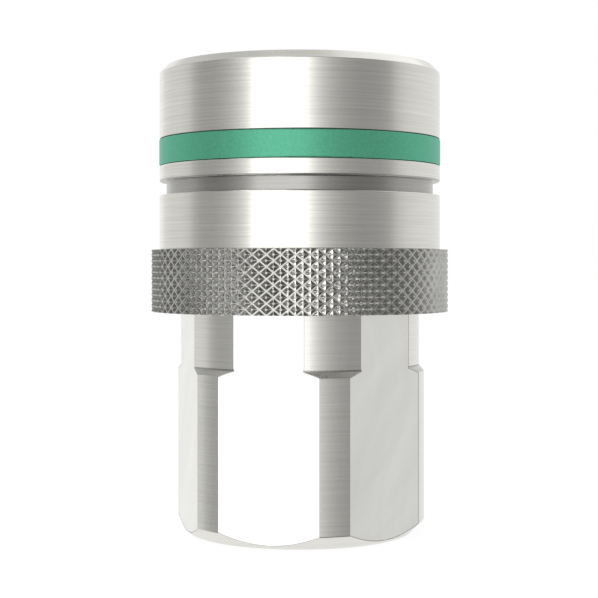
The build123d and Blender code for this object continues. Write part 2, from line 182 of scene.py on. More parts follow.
GROUPS = {
    "coupling_hex": HexBodySizes,
    "coupling_sleeve": SleeveSizes,
    "coupling_knurl": KnurlSizes,
    "coupling_springs": SpringSizes,
    "coupling_finish": FinishColours,
    "coupling_studio": StudioSettings,
}


# Node trees


def link(tree, value, socket):
    """Feeds a socket with a number, a colour or another node's output."""
    if isinstance(value, (int, float, tuple)):
        socket.default_value = value
    else:
        tree.links.new(value, socket)


def new_node(tree, kind, inputs=(), **settings):
    node = tree.nodes.new(f"ShaderNode{kind}")
    for name, value in settings.items():
        setattr(node, name, value)
    for name, value in dict(inputs).items():
        link(tree, value, node.inputs[name])
    return node


def math_node(tree, operation, *values):
    return new_node(tree, "Math", enumerate(values), operation=operation).outputs[0]


def times(tree, first, second):
    return math_node(tree, "MULTIPLY", first, second)


def plus(tree, first, second):
    return math_node(tree, "ADD", first, second)


def distance_node(tree, x, y):
    """Distance of the point (x, y) from the origin."""
    return math_node(tree, "SQRT", plus(tree, times(tree, x, x), times(tree, y, y)))


def map_node(tree, value, low, high, to_low, to_high, kind="LINEAR"):
    ends = {"Value": value, "From Min": low, "From Max": high, "To Min": to_low, "To Max": to_high}
    return new_node(tree, "MapRange", ends, interpolation_type=kind).outputs["Result"]


def noise_node(tree, vector, scale, detail=2.0, roughness=0.5):
    inputs = {"Vector": vector, "Scale": scale, "Detail": detail, "Roughness": roughness}
    return new_node(tree, "TexNoise", inputs).outputs[0]


def vector_node(tree, x, y, z):
    return new_node(tree, "CombineXYZ", enumerate((x, y, z))).outputs[0]


def split_node(tree, vector):
    return new_node(tree, "SeparateXYZ", {0: vector}).outputs


def scale_node(tree, vector, factor):
    return new_node(tree, "VectorMath", {0: vector, "Scale": factor}, operation="SCALE").outputs[0]


def blend_node(tree, factor, first, second):
    return new_node(tree, "Mix", {"Factor": factor, 6: first, 7: second}, data_type="RGBA").outputs[2]


def ramp_node(tree, value, stops):
    """Grey levels by place, with straight runs between the stops."""
    node = new_node(tree, "ValToRGB", {"Fac": value})
    elements = node.color_ramp.elements
    elements.remove(elements[-1])
    for index, (place, level) in enumerate(stops):
        element = elements[0] if index == 0 else elements.new(place)
        element.position = place
        element.color = (level, level, level, 1.0)
    return node.outputs["Color"]


def mix_shaders(tree, factor, first, second):
    return new_node(tree, "MixShader", {0: factor, 1: first, 2: second}).outputs[0]


def white_light(tree, kind, level):
    return new_node(tree, kind, {"Color": WHITE, "Strength": level}).outputs[0]


def object_place(tree):
    return new_node(tree, "TexCoord").outputs["Object"]


def around_axis(tree, lengthwise, roundness):
    """Coordinates that hardly change round the axis and change fast along it, as marks of turning do."""
    x, y, z = split_node(tree, object_place(tree))
    radius, least_radius, lean = distance_node(tree, x, y), 0.1 * MM, 0.7
    safe = math_node(tree, "MAXIMUM", radius, least_radius)
    cosine, sine = (times(tree, math_node(tree, "DIVIDE", side, safe), roundness) for side in (x, y))
    along = times(tree, plus(tree, z, times(tree, radius, lean)), lengthwise)
    return vector_node(tree, cosine, sine, along)


# Finishes


def new_finish(name, inputs=()):
    finish = bpy.data.materials.new(name)
    finish.use_nodes = True
    tree = finish.node_tree
    shader = tree.nodes["Principled BSDF"]
    for socket, value in dict(inputs).items():
        link(tree, value, shader.inputs[socket])
    return finish, tree, shader


def dress(tree, shader, base, cloud, shade, stain, roughness, spread, marks, strength, depth=FINE_MARKS):
    """Clouds the colour by a share up and down, stains the roughness by another, and raises the marks."""
    noise_span = (0.3, 0.7)
    level = map_node(tree, cloud, *noise_span, 1.0 - shade, 1.0 + shade)
    dulled = map_node(tree, stain, *noise_span, roughness * (1.0 - spread), roughness * (1.0 + spread))
    raised = new_node(tree, "Bump", {"Height": marks, "Strength": strength, "Distance": depth}).outputs[0]
    link(tree, scale_node(tree, tuple(base), level), shader.inputs["Base Color"])
    link(tree, dulled, shader.inputs["Roughness"])
    link(tree, raised, shader.inputs["Normal"])


def turned_metal(name, base, roughness, grain=0.12, shade=0.10):
    """Metal with fine marks of turning round the coupling's axis, which spread reflections along it."""
    settings = {"Metallic": 1.0, "Anisotropic": 0.75, "Anisotropic Rotation": 0.25}
    finish, tree, shader = new_finish(name, settings)
    tangent = new_node(tree, "Tangent", direction_type="RADIAL", axis="Z")
    link(tree, tangent.outputs[0], shader.inputs["Tangent"])
    fine = noise_node(tree, around_axis(tree, 7500.0, 1.7), 1.0, 2.0, 0.6)
    broad = noise_node(tree, around_axis(tree, 2800.0, 1.0), 1.0)
    marks = plus(tree, times(tree, fine, 0.55), times(tree, broad, 0.45))
    stain = noise_node(tree, object_place(tree), 90.0, 3.0)
    dress(tree, shader, base, marks, shade, stain, roughness, 0.08, marks, grain)
    return finish


def milled_metal(name, base, roughness):
    """Metal with the shallow crossing arcs that a face mill leaves across a wrench flat."""
    finish, tree, shader = new_finish(name, {"Metallic": 1.0})
    across, up, _ = split_node(tree, new_node(tree, "UVMap", uv_map="UVMap").outputs[0])
    sweeps = []
    for centre_across, centre_up, per_metre in ((-0.016, 0.030, 210.0), (0.020, 0.004, 170.0)):
        side = math_node(tree, "SUBTRACT", across, centre_across)
        rise = math_node(tree, "SUBTRACT", up, centre_up)
        arc = times(tree, distance_node(tree, side, rise), per_metre)
        place = vector_node(tree, times(tree, across, 40.0), centre_up * 100, arc)
        sweeps.append(times(tree, noise_node(tree, place, 1.0, 3.0), 0.5))
    marks = plus(tree, *sweeps)
    dress(tree, shader, base, marks, 0.07, marks, roughness, 0.10, marks, 0.10)
    return finish


def plain_metal(name, base, roughness, grain_scale=900.0, grain=0.08, shade=0.10, dents=FINE_MARKS):
    """Metal with an even, fine grain, or with the dents that knurling leaves."""
    finish, tree, shader = new_finish(name, {"Metallic": 1.0})
    place = object_place(tree)
    grains = noise_node(tree, place, grain_scale, 3.0)
    stain = noise_node(tree, place, 120.0, 3.0)
    cloud = plus(tree, times(tree, stain, 0.5), times(tree, grains, 0.5))
    dress(tree, shader, base, cloud, shade, stain, roughness, 0.15, grains, grain, dents)
    return finish


def anodised(name, base, roughness):
    """Dyed satin coat on a turned ring, with the ring's marks faintly below it."""
    settings = {"Metallic": 0.6, "IOR": 1.5, "Specular Tint": (0.72, 1.0, 1.0, 1.0)}
    finish, tree, shader = new_finish(name, settings)
    marks = noise_node(tree, around_axis(tree, 5000.0, 2.0), 1.0, 3.0)
    cloud = noise_node(tree, object_place(tree), 2200.0, 4.0, 0.7)
    dress(tree, shader, base, cloud, 0.12, cloud, roughness, 0.10, marks, 0.12)
    return finish


def moulded(name, base, roughness, mottle):
    """Rubber or plastic with a faint moulded surface."""
    finish, tree, shader = new_finish(name)
    place = object_place(tree)
    grains = noise_node(tree, place, 1800.0, 3.0)
    dust = noise_node(tree, place, 260.0, 4.0)
    dress(tree, shader, base, dust, mottle, dust, roughness, 0.15, grains, 0.15)
    return finish


def finish_named(name):
    """The finish of that name, made on its first use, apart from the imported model's own materials."""
    known = bpy.data.materials.get(f"{name}_finish")
    if known is not None:
        return known
    tones = bpy.context.scene.coupling_finish
    makers = {
        "turned_steel": (turned_metal, tones.steel, 0.21),
        "body_steel": (turned_metal, tones.body_steel, 0.21, 0.09, 0.06),
        "milled_steel": (milled_metal, tones.milled_steel, 0.22),
        "edge_steel": (plain_metal, tones.edge_steel, 0.35),
        "valve_steel": (turned_metal, tones.steel, 0.20, 0.10),
        # Darker steel in the strap groove, and a painted shade line on the neck's undercut
        "groove_steel": (turned_metal, tones.recess_steel, 0.27, 0.15),
        # Painted shade on the shoulder cone under the knurled ring
        "shoulder_steel": (turned_metal, tones.shoulder_steel, 0.27),
        "knurl_steel": (plain_metal, tones.knurl_steel, 0.14, 1500.0, 0.8, 0.20, 0.10 * MM),
        # Painted shade on one flank of each knurl point
        "rubbed_steel": (plain_metal, tones.rubbed_steel, 0.34, 1500.0, 0.8, 0.24, 0.10 * MM),
        "spring_steel": (plain_metal, tones.spring_steel, 0.30, 1500.0),
        "ball_steel": (plain_metal, tones.ball_steel, 0.08, 2500.0, 0.02),
        "ring_green": (anodised, tones.ring_green, 0.35),
        "seal_rubber": (moulded, tones.seal_rubber, 0.55, 0.2),
        "ring_plastic": (moulded, tones.ring_plastic, 0.45, 0.04),
    }
    maker, *values = makers[name]
    return maker(f"{name}_finish", *values)


# Mesh making


def polar(radius, angle, height):
    return (radius * cos(angle), radius * sin(angle), height)


def band(lower, upper):
    """Faces between two closed rings of corners."""
    count = len(lower)
    return [(lower[k], lower[(k + 1) % count], upper[(k + 1) % count], upper[k]) for k in range(count)]


def net(rings):
    """Faces from each closed ring of corners to the next, drawn together where a ring is all one corner."""
    return [tuple(dict.fromkeys(face)) for pair in zip(rings, rings[1:]) for face in band(*pair)]


def add_object(name, data):
    added = bpy.data.objects.new(name, data)
    bpy.context.scene.collection.objects.link(added)
    return added


def make_piece(
    name, body, node, corners, faces, finishes, face_finish=None, normals=None, crease=None
):
    """A mesh object from corners and faces, riding on a body and standing for its CAD node."""
    mesh = bpy.data.meshes.new(name)
    mesh.from_pydata(corners, [], faces)
    for finish in finishes:
        mesh.materials.append(finish_named(finish))
    if face_finish is not None:
        mesh.polygons.foreach_set("material_index", face_finish)
    mesh.polygons.foreach_set("use_smooth", [True] * len(mesh.polygons))
    if crease is not None:
        mesh.set_sharp_from_angle(angle=radians(crease))
    if normals is not None:
        mesh.normals_split_custom_set(normals)
    mesh.update()
    if mesh.validate():
        raise RuntimeError(f"{name} has faces that Blender had to mend")
    piece = add_object(name, mesh)
    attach(piece, body)
    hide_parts(node)
    return piece


def rounded_section(section, default_round):
    """Points of a closed section with rounded corners, and for each edge its two end normals and its finish.

    Each corner is (radius, height), then perhaps its own rounding and the finish number of the next edge.
    A section runs out along its foot and up its outside."""
    corners = [(*c, *(default_round, 0)[len(c) - 2:]) for c in section]
    nearly_straight, longest_share, steps = radians(176), 0.45, 4
    points, edges = [], []
    for i, corner in enumerate(corners):
        before, after = corners[i - 1], corners[(i + 1) % len(corners)]
        here = np.array(corner[:2])
        back, ahead = np.array(before[:2]) - here, np.array(after[:2]) - here
        back_length, ahead_length = np.hypot(*back), np.hypot(*ahead)
        back, ahead = back / back_length, ahead / ahead_length
        opening = acos(max(-1.0, min(1.0, float(back @ ahead))))
        normal_in = np.array([-back[1], back[0]])
        normal_out = np.array([ahead[1], -ahead[0]])
        tangent = 0.0
        if corner[2] and corner[0] >= 1e-9 and opening <= nearly_straight:
            room = longest_share * min(back_length, ahead_length)
            tangent = min(corner[2] / tan(opening / 2), room)
        finish_in, finish_out = before[3], corner[3]
        if tangent < 1e-7:
            points.append((here, normal_in, normal_out, finish_out))
            continue
        radius = tangent * tan(opening / 2)
        convex = float(np.cross(-back, ahead)) > 0
        side = 1.0 if convex else -1.0
        start, stop = here + back * tangent, here + ahead * tangent
        centre = start - normal_in * radius * side
        turn_from = atan2(*(start - centre)[::-1])
        turn_to = atan2(*(stop - centre)[::-1])
        sweep = (turn_to - turn_from + pi) % FULL_TURN - pi
        for step in range(steps + 1):
            angle = turn_from + sweep * step / steps
            out = np.array([cos(angle), sin(angle)])
            finish = finish_out if step == steps else (finish_in if convex else finish_out)
            points.append((centre + out * radius, out * side, out * side, finish))
    for i, point in enumerate(points):
        following = points[(i + 1) % len(points)]
        edges.append((point[2], following[1], point[3]))
    return [p[0] for p in points], edges


def turned_piece(name, body, node, section, finishes, rounding, arc=360):
    """A section revolved about the coupling's axis through an arc in degrees, whole or open."""
    points, edges = rounded_section(section, rounding)
    steps = round(256 * arc / 360)
    columns = steps if arc == 360 else steps + 1
    angles = [radians(arc) * c / steps for c in range(columns)]
    circle = [(cos(a), sin(a)) for a in angles]
    corners, rings = [], []
    for radius, height in points:
        if radius < 1e-9:
            rings.append([len(corners)] * columns)
            corners.append((0.0, 0.0, height))
        else:
            rings.append(list(range(len(corners), len(corners) + columns)))
            corners.extend((radius * c, radius * s, height) for c, s in circle)
    faces, face_finish, normals = [], [], []
    for i, (normal_low, normal_high, finish) in enumerate(edges):
        low, high = rings[i], rings[(i + 1) % len(rings)]
        if low[0] == low[1] and high[0] == high[1]:
            continue
        for c in range(steps):
            d = (c + 1) % columns
            face, shading = [], []
            for ring, column, normal in (
                (low, c, normal_low), (low, d, normal_low), (high, d, normal_high), (high, c, normal_high)
            ):
                if ring[column] not in face:
                    face.append(ring[column])
                    cosine, sine = circle[column]
                    shading.append((normal[0] * cosine, normal[0] * sine, normal[1]))
            faces.append(face)
            normals.extend(shading)
            face_finish.append(finish)
    if arc < 360:
        for column, turn in ((0, 1.0), (columns - 1, -1.0)):
            cap = [ring[column] for ring in rings]
            cosine, sine = circle[column]
            facing = (sine * turn, -cosine * turn, 0.0)
            faces.append(cap[::-1] if turn < 0 else cap)
            normals.extend([facing] * len(cap))
            face_finish.append(0)
    return make_piece(name, body, node, corners, faces, finishes, face_finish, normals)


# Hexagon body


def thread_radius(sizes, angle, height, entry):
    """Radius of the port's internal thread, whose crests the entry chamfer cuts back."""
    phase = (height / sizes.thread_pitch - angle / FULL_TURN) % 1.0
    wave = 1.0 - 4.0 * abs(phase - 0.5)
    depth = 0.5 + 0.5 * sin(max(-1.0, min(1.0, 1.3 * wave)) * pi / 2)
    cut = sizes.thread_crest + (sizes.thread_root - sizes.thread_crest) * depth
    return max(cut, entry - height)


def hex_rings(sizes):
    """Turned outside of the body from its foot up: (height, turned radius, has flats)."""
    corner, neck = sizes.corner_radius, sizes.neck_radius
    top, chamfer = sizes.hex_height, sizes.base_chamfer
    base, shoulder = corner - chamfer, corner - neck
    meet, low = sizes.across_flats / 2 - base, top - shoulder
    edge, chamfer_steps, shoulder_steps = 0.12 * MM, 14, 8
    outline = [(0.0, base - edge), (edge * 0.3, base - edge * 0.3), (edge, base + edge * 0.75)]
    for k in range(chamfer_steps):
        climb = meet + (chamfer - meet) * (k / chamfer_steps) ** 1.6
        outline.append((climb, base + climb))
    outline += [
        (chamfer - edge, corner - edge), (chamfer - edge * 0.2, corner - edge * 0.35),
        (chamfer + edge, corner), (low - edge, corner), (low + edge * 0.2, corner - edge * 0.35),
    ]
    for k in range(shoulder_steps + 1):
        climb = edge + (shoulder - edge) * k / shoulder_steps
        outline.append((low + climb, corner - climb))
    cut, tall, flats_top = sizes.undercut_depth, sizes.undercut_height, sizes.flats_top
    outline += [
        (top + 0.1 * tall, neck - cut), (top + 0.85 * tall, neck - cut), (top + tall, neck),
        (top + tall + 0.2 * MM, neck), (flats_top - 0.1 * MM, neck), (flats_top, neck),
    ]
    return [(height, radius, True) for height, radius in outline] + [(flats_top, neck, False)]


def half_width(sizes, rings, height):
    """Half of a flat's width at a height, from the turned outside that it cuts."""
    radius = float(np.interp(height, [ring[0] for ring in rings], [ring[1] for ring in rings]))
    return sqrt(max(0.0, radius**2 - (sizes.across_flats / 2) ** 2))


def plain_width(sizes, rings, height):
    """Half of a flat's width at a height, less the eased edge that runs round the flat."""
    sides = []
    for step in range(9):
        tilt = radians(-90 + 22.5 * step)
        beside = half_width(sizes, rings, height + sizes.eased_edge * sin(tilt))
        sides.append(beside - sizes.eased_edge * cos(tilt))
    return max(0.0, min(sides))


class COUPLING_OT_hex_body(bpy.types.Operator):
    """Turned body with six milled wrench flats and the port's thread"""

    bl_idname = "coupling.hex_body"
    bl_label = "Hexagon body"

    def execute(self, context):
        sizes = context.scene.coupling_hex
        half = sizes.across_flats / 2
        top = top_of("hex_body")
        flat_steps, corner_steps, plain_on_round = 16, 12, 0.97
        columns = 6 * (flat_steps + corner_steps)
        corners, faces, face_finish, flat_places = [], [], [], []
        rings = hex_rings(sizes)
        nominal = acos(half / sizes.neck_radius)

        def outside(height, radius, has_flats):
            """One ring, whose flats are chords of the turned circle with an eased edge at each end."""
            spread = acos(min(1.0, half / radius)) if has_flats and radius > half else 0.0
            plain = plain_on_round
            if spread:
                plain = min(1.0, plain_width(sizes, rings, height) / (half * tan(spread)))
            ring = []
            for sector in range(6):
                facing = radians(-90 + 60 * sector)
                for k in range(flat_steps):
                    place = plain * (2 * (k - 1) / (flat_steps - 2) - 1) if k else -1.0
                    if spread:
                        x, y = half, half * tan(spread) * place
                    else:
                        turn = nominal * place if not has_flats else 0.0
                        x, y = radius * cos(turn), radius * sin(turn)
                    ring.append((facing, x, y, y))
                edge = spread if (spread or has_flats) else nominal
                for k in range(corner_steps):
                    turn = edge + (radians(60) - 2 * edge) * k / corner_steps
                    x, y = radius * cos(turn), radius * sin(turn)
                    ring.append((facing, x, y, half * tan(edge)))
            indices = []
            for facing, x, y, across in ring:
                cosine, sine = cos(facing), sin(facing)
                flat_places.append((across, height))
                indices.append(len(corners))
                corners.append((x * cosine - y * sine, x * sine + y * cosine, height))
            return indices

        def circle(radius, height):
            return outside(height, radius, False)

        crown = 0.4 * MM
        levels = [outside(*ring) for ring in rings]
        levels += [circle(sizes.neck_radius, top - crown), circle(sizes.neck_radius - crown, top)]
        sector = flat_steps + corner_steps
        turned, milled, eased, undercut, shoulder = range(5)
        widths = [half_width(sizes, rings, height) for height, _, _ in rings]
        shoulder_foot = sizes.hex_height - (sizes.corner_radius - sizes.neck_radius)
        undercut_top = sizes.hex_height + sizes.undercut_height * 0.99
        for i in range(len(levels) - 1):
            flats = i + 1 < len(rings) and rings[i + 1][2]
            height, radius = rings[i][:2] if flats else (0.0, 0.0)
            on_flat = flats and radius >= half - 1e-9
            # Painted shade: the undercut at the neck's foot takes the darker groove steel as a dark line
            cut = flats and sizes.hex_height - 1e-9 <= height < undercut_top
            # Painted shade: the shoulder cone's faces take the darker shoulder steel
            slope = flats and shoulder_foot < height < sizes.hex_height - 1e-9
            arched = flats and abs(widths[i + 1] - widths[i]) > 1e-6
            faces += band(levels[i], levels[i + 1])
            for column in range(columns):
                place = column % sector
                if not on_flat or place >= flat_steps:
                    face_finish.append(undercut if cut else shoulder if slope else turned)
                else:
                    at_edge = place == flat_steps - 1 or (place == 0 and arched)
                    face_finish.append(eased if at_edge else milled)
        # The bore from the top down, ending where the thread's relief begins
        waist, thread_bore, pilot, way = mm(18.8, 18.05, 17.05, 12.5)
        waist_foot, bore_foot, pilot_foot = mm(46.0, 33.2, 26.5)
        relief, relief_top, relief_foot = mm(17.0, 22.5, 20.0)
        bore = [
            (waist, top), (waist, waist_foot), (thread_bore, waist_foot), (thread_bore, bore_foot),
            (pilot, bore_foot), (pilot, pilot_foot), (way, pilot_foot), (way, relief_top),
            (relief, relief_top), (relief, relief_foot),
        ]
        inner = [circle(radius, height) for radius, height in bore]
        for upper, lower in zip([levels[-1]] + inner, inner):
            faces += band(upper, lower)
        # The thread, in rows that follow its helix from the entry chamfer up to the relief
        entry_radius, rows_per_pitch = 16.7 * MM, 16
        turns = ceil(relief_foot / sizes.thread_pitch) + 2
        angles = [atan2(corners[i][1], corners[i][0]) % FULL_TURN for i in inner[-1]]
        shift = angles.index(min(angles))
        order = [(shift + k) % columns for k in range(columns)]
        helix = []
        for row in range(rows_per_pitch * turns):
            ring = []
            for k in range(columns + 1):
                angle = angles[order[k % columns]] + (FULL_TURN if k == columns else 0.0)
                height = sizes.thread_pitch * (row / rows_per_pitch - 1.5 + angle / FULL_TURN)
                height = max(0.0, min(relief_foot, height))
                radius = thread_radius(sizes, angle, height, entry_radius)
                ring.append(len(corners))
                flat_places.append((0.0, height))
                corners.append(polar(radius, angle, height))
            helix.append(ring)
        for lower, upper in zip(helix, helix[1:]):
            for k in range(columns):
                faces.append((lower[k + 1], lower[k], upper[k], upper[k + 1]))
        # One row closes the thread to the relief above it, and one to the body's foot
        for k in range(columns):
            here, following = order[k], order[(k + 1) % columns]
            faces.append((helix[-1][k + 1], helix[-1][k], inner[-1][here], inner[-1][following]))
            faces.append((helix[0][k], helix[0][k + 1], levels[0][following], levels[0][here]))
        face_finish += [0] * (len(faces) - len(face_finish))
        corners, faces, face_finish, flat_places = weld(corners, faces, face_finish, flat_places)
        body = make_piece(
            "hex_body_turned", "root", "hex_body", corners, faces,
            ["body_steel", "milled_steel", "edge_steel", "groove_steel", "shoulder_steel"], face_finish,
            crease=14,
        )
        layer = body.data.uv_layers.new(name="UVMap")
        for loop in body.data.loops:
            layer.data[loop.index].uv = flat_places[loop.vertex_index]
        return {"FINISHED"}


def weld(corners, faces, face_finish, flat_places):
    """Joins corners that share one place, and drops the faces that this closes up."""
    grain = 1e-8
    kept, joined = {}, []
    for index, corner in enumerate(corners):
        key = tuple(round(value / grain) for value in corner)
        joined.append(kept.setdefault(key, (len(kept), index))[0])
    whole, finishes, seen = [], [], set()
    for face, finish in zip(faces, face_finish):
        ring = tuple(dict.fromkeys(joined[index] for index in face))
        if len(ring) > 2 and frozenset(ring) not in seen:
            seen.add(frozenset(ring))
            whole.append(ring)
            finishes.append(finish)
    first = [index for _, index in kept.values()]
    return [corners[i] for i in first], whole, finishes, [flat_places[i] for i in first]


# Release sleeve and what it carries


class COUPLING_OT_release_sleeve(bpy.types.Operator):
    """Smooth turned sleeve with its mouth chamfer, strap groove and inside"""

    bl_idname = "coupling.release_sleeve"
    bl_label = "Release sleeve"

    def execute(self, context):
        sizes = context.scene.coupling_sleeve
        foot, top = foot_of("release_sleeve"), top_of("release_sleeve")
        knurl_top = top_of("knurled_ring")
        ring_low, ring_high = foot_of("colour_ring"), top_of("colour_ring")
        outer, lip = sizes.radius, sizes.edge_round
        bore, guide, step_wall, mouth = mm(21.45, 19.85, 20.77, 22.0)
        guide_foot, guide_top, step, mouth_edge = mm(67.0, 75.06, 79.15, 0.4)
        fine = 0.1 * MM
        floor = outer - sizes.groove_depth
        groove_low, groove_high = sizes.groove_bottom, sizes.groove_bottom + sizes.groove_height
        slot_low, slot_high = ring_low - sizes.ring_gap, ring_high + sizes.ring_gap
        section = [
            (bore, foot, lip), (RING_SEAT, foot, lip), (RING_SEAT, knurl_top, 0.0), (outer, knurl_top, lip),
            (outer, groove_low, 0.2 * MM, 1), (floor, groove_low, 0.12 * MM, 1),
            (floor, groove_high, 0.12 * MM, 1), (outer, groove_high, 0.32 * MM), (outer, slot_low, fine, 1),
            (RING_SEAT, slot_low, 0.0, 1), (RING_SEAT, slot_high, 0.0, 1), (outer, slot_high, fine),
            (outer, top - sizes.top_chamfer, lip), (outer - sizes.top_chamfer, top, lip),
            (mouth + mouth_edge, top, fine), (mouth, top - mouth_edge, fine), (mouth, step, fine),
            (step_wall, step, fine), (guide, guide_top, 0.5 * MM), (guide, guide_foot, fine),
            (bore, guide_foot, 0.2 * MM),
        ]
        turned_piece("release_sleeve_turned", "sleeve", "release_sleeve", section,
                     ["turned_steel", "groove_steel"], lip)
        return {"FINISHED"}


class COUPLING_OT_colour_ring(bpy.types.Operator):
    """Green ring that tells the line's use, standing a hair proud of the sleeve"""

    bl_idname = "coupling.colour_ring"
    bl_label = "Colour ring"

    def execute(self, context):
        low, high = foot_of("colour_ring"), top_of("colour_ring")
        outer, edge = reach_of("colour_ring"), 0.25 * MM
        section = [(RING_SEAT, low), (outer, low, edge), (outer, high, edge), (RING_SEAT, high)]
        turned_piece("colour_ring_coated", "sleeve", "colour_ring", section,
                     ["ring_green"], 0.0)
        return {"FINISHED"}


class COUPLING_OT_knurled_ring(bpy.types.Operator):
    """Grip ring of crossed V grooves, with worn tips"""

    bl_idname = "coupling.knurled_ring"
    bl_label = "Knurled ring"

    def execute(self, context):
        sizes = context.scene.coupling_knurl
        low, high = foot_of("knurled_ring"), top_of("knurled_ring")
        tip = reach_of("knurled_ring")
        columns, rows = 2 * sizes.count, sizes.rows
        worn, ridge, edge, floor = sizes.flat_share, sizes.ridge_share, sizes.edge_share, sizes.floor_share
        top, ground = 1.0 - worn, 1.0 - floor
        # Lines across a quarter of a point, from its tip out, with corners of (along, up, rise)
        lines = [
            [(0.0, 0.0, top)] * 4,
            [(worn, 0.0, top - ridge), (worn - ridge, ridge, top), (edge, worn - edge, top),
             (0.0, worn, top - edge)],
            [(ground, 0.0, floor), (ground - ridge, ridge, floor), (edge, ground - edge, floor),
             (0.0, ground, floor)],
            [(1.0, 0.0, floor), (1.0 - ridge, ridge, floor), (ridge, 1.0 - ridge, floor), (0.0, 1.0, floor)],
        ]
        corners, index_at = [], {}

        def point(column, row, rise):
            """Corner on the ring, at a place on the lattice of tips and crossings."""
            key = (round(column % columns, 5), round(row, 5))
            if key not in index_at:
                radius = tip - sizes.depth * (top - rise)
                angle = FULL_TURN * column / columns
                height = low + (high - low) * row / rows
                index_at[key] = len(corners)
                corners.append(polar(radius, angle, height))
            return index_at[key]

        faces, face_finish = [], []
        for row in range(rows):
            for column in range(columns):
                even = (column + row) % 2 == 0
                for side in (0, 1):
                    # Each half of a cell climbs from the groove between its crossings to one tip
                    tip_column = column + (side if even else 1 - side)
                    tip_row = row + side
                    step_column = 1 if tip_column == column else -1
                    step_row = 1 if tip_row == row else -1
                    placed = [
                        [
                            point(tip_column + step_column * along, tip_row + step_row * up, rise)
                            for along, up, rise in line
                        ]
                        for line in lines
                    ]
                    for part, (near, far) in enumerate(zip(placed, placed[1:])):
                        for k in range(3):
                            ring = [near[k], far[k], far[k + 1], near[k + 1]]
                            ring = ring[:3] if near[k] == near[k + 1] else ring
                            faces.append(ring if step_column * step_row > 0 else ring[::-1])
                            # Painted shade: the middle facet on one side of each point takes the second,
                            # darker finish
                            face_finish.append(1 if (part, k) == (1, 1) and step_column > 0 else 0)
        # Plain ends, whose outlines are the cut grooves, down to the seat on the sleeve
        ends = []
        for row, height, up in ((0, low, False), (rows, high, True)):
            rim = sorted((key[0], index) for key, index in index_at.items() if abs(key[1] - row) < 1e-6)
            outline = [index for _, index in rim]
            inner = []
            for place, _ in rim:
                angle = FULL_TURN * place / columns
                inner.append(len(corners))
                corners.append(polar(RING_SEAT, angle, height))
            faces += [ring if up else ring[::-1] for ring in band(outline, inner)]
            ends.append(inner)
        faces += band(*ends[::-1])
        face_finish += [0] * (len(faces) - len(face_finish))
        make_piece("knurled_ring_cut", "sleeve", "knurled_ring", corners, faces,
                   ["knurl_steel", "rubbed_steel"], face_finish, crease=20)
        return {"FINISHED"}


class COUPLING_OT_stop_ring(bpy.types.Operator):
    """Open spring ring that stops the sleeve"""

    bl_idname = "coupling.stop_ring"
    bl_label = "Stop ring"

    def execute(self, context):
        low, high = foot_of("stop_ring"), top_of("stop_ring")
        outer, inner, closed_arc = reach_of("stop_ring"), 18.95 * MM, 345
        section = [(inner, low), (outer, low), (outer, high), (inner, high)]
        turned_piece("stop_ring_sprung", "root", "stop_ring", section, ["spring_steel"],
                     0.2 * MM, arc=closed_arc)
        return {"FINISHED"}


# Valve


class COUPLING_OT_valve(bpy.types.Operator):
    """Sliding shutter and the flat-headed stem that it closes round"""

    bl_idname = "coupling.valve"
    bl_label = "Shutter and stem"

    def execute(self, context):
        face, foot = top_of("shutter"), foot_of("shutter")
        outer, wall, counterbore, lip = reach_of("shutter"), *mm(13.2, 12.55, 11.6)
        flange, cone_top, cone_foot = face - 1.25 * MM, face - 4.2 * MM, face - 5.8 * MM
        fine, edge = mm(0.1, 0.18)
        section = [
            (wall, foot), (outer, foot), (outer, face, 0.25 * MM), (counterbore, face, edge),
            (counterbore, flange, 0.0), (lip, flange, fine), (lip, cone_top, fine),
            (wall, cone_foot, 0.3 * MM),
        ]
        turned_piece("shutter_turned", "shutter", "shutter", section,
                     ["valve_steel"], 0.15 * MM)
        end, flat = foot_of("valve_stem"), top_of("valve_stem")
        head, rim, groove, rod, thread, shoulder = mm(11.5, 12.5, 9.95, 5.0, 4.0, 5.8)
        shoulder_foot, shoulder_top, rod_foot, rod_top = mm(33.0, 35.0, 35.8, 60.0)
        head_foot, groove_foot, groove_top, rim_foot = mm(66.8, 67.35, 69.25, 69.8)
        section = [
            (0.0, end, 0.0), (thread - 0.5 * MM, end, fine), (thread, end + 0.5 * MM, fine),
            (thread, shoulder_foot, 0.0), (shoulder, shoulder_foot, fine), (shoulder, shoulder_top, fine),
            (rod, rod_foot, 0.3 * MM), (rod, rod_top, 1.5 * MM), (head, head_foot, fine),
            (head, groove_foot, 0.08 * MM), (groove, groove_foot, fine), (groove, groove_top, fine),
            (head, groove_top, 0.08 * MM), (head, rim_foot, 0.05 * MM), (rim, rim_foot, 0.05 * MM),
            (rim, flat, edge), (0.0, flat, 0.0),
        ]
        turned_piece("valve_stem_turned", "root", "valve_stem", section,
                     ["valve_steel"], fine)
        return {"FINISHED"}


class COUPLING_OT_locking_balls(bpy.types.Operator):
    """Polished locking balls, each on its own body"""

    bl_idname = "coupling.locking_balls"
    bl_label = "Locking balls"

    def execute(self, context):
        bands, around = 24, 48
        for name in sorted(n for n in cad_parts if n.startswith("locking_ball_")):
            low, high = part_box(name)
            centre, radius = (low + high) / 2, (high.z - low.z) / 2
            corners = [(centre.x, centre.y, low.z), (centre.x, centre.y, high.z)]
            rings = [[0] * around]
            for step in range(1, bands):
                tilt = pi * step / bands
                rings.append(range(len(corners), len(corners) + around))
                for k in range(around):
                    x, y, z = polar(radius * sin(tilt), FULL_TURN * k / around, -radius * cos(tilt))
                    corners.append((centre.x + x, centre.y + y, centre.z + z))
            faces = net(rings + [[1] * around])
            make_piece(f"{name}_polished", name, name, corners, faces, ["ball_steel"])
        return {"FINISHED"}


